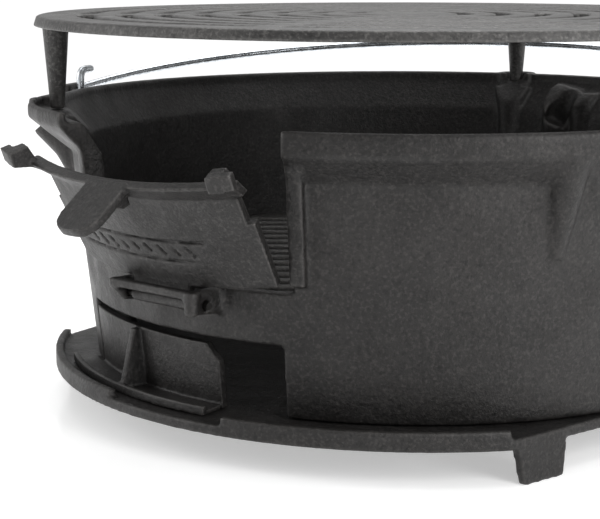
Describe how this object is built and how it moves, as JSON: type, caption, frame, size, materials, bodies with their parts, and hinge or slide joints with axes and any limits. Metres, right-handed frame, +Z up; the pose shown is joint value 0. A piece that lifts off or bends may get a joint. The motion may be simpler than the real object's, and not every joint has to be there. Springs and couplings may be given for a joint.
{
  "type": "hibachi grill",
  "caption": "Round cast-iron hibachi grill: tapered fire bowl on a footed base plate, with a raised slotted cooking grate, a tilting fuel door, a sliding air vent and a wire bail.",
  "frame": {"origin": "on the floor, below the middle of the whole object's box; the fire bowl's axis stands 5.4 mm towards +X and 14.1 mm towards +Y of it", "axes": "+Z up; the fuel door faces -Y; +X is to the right for someone who looks at the door"},
  "size_m": [0.3528, 0.3882, 0.1734],
  "materials": {
    "bowl_iron": "seasoned sand-cast surface, satin, fine grain",
    "base_iron": "seasoned sand-cast surface, satin, worn lighter on the edges",
    "door_iron": "seasoned sand-cast surface, satin, with plain engraved lines",
    "slider_iron": "seasoned sand-cast surface, satin",
    "grate_iron": "ground top, dull grey sheen",
    "coal_grate_iron": "rough cast, dull",
    "zinc_wire": "bright zinc-plated wire",
    "plated_steel": "zinc-plated fixings"
  },
  "bodies": {
    "grill_body": {"base_plate": "base_iron", "fire_bowl": "bowl_iron", "door_hinge_rod": "plated_steel", "base_screw_1": "plated_steel", "base_screw_2": "plated_steel", "base_screw_3": "plated_steel", "base_washer_1": "plated_steel", "base_washer_2": "plated_steel", "base_washer_3": "plated_steel", "base_nut_1": "plated_steel", "base_nut_2": "plated_steel", "base_nut_3": "plated_steel"},
    "bail": {"bail": "zinc_wire"},
    "fuel_door": {"fuel_door": "door_iron"},
    "vent_slider": {"vent_slider": "slider_iron"},
    "cooking_grate": {"cooking_grate": "grate_iron"},
    "coal_grate": {"coal_grate": "coal_grate_iron"}
  },
  "joints": [
    {"name": "bail_swing", "type": "hinge", "parent": "grill_body", "child": "bail", "pos_m": [0.00543, 0.01303, 0.1305], "axis": [0.9205, 0.3907, 0], "range_deg": [0, 167]},
    {"name": "door_tilt", "type": "hinge", "parent": "grill_body", "child": "fuel_door", "pos_m": [0.00543, -0.14397, 0.0645], "axis": [1, 0, 0], "range_deg": [-22, 0]},
    {"name": "vent_slide", "type": "hinge", "parent": "grill_body", "child": "vent_slider", "pos_m": [0.00543, 0.01303, 0.03], "axis": [0, 0, 1], "range_deg": [0, 11.5]},
    {"name": "grate_lift", "type": "slide", "parent": "grill_body", "child": "cooking_grate", "axis": [0, 0, 1], "range_m": [0, 0.06]},
    {"name": "coal_grate_lift", "type": "slide", "parent": "grill_body", "child": "coal_grate", "axis": [0, 0, 1], "range_m": [0, 0.09]}
  ]
}
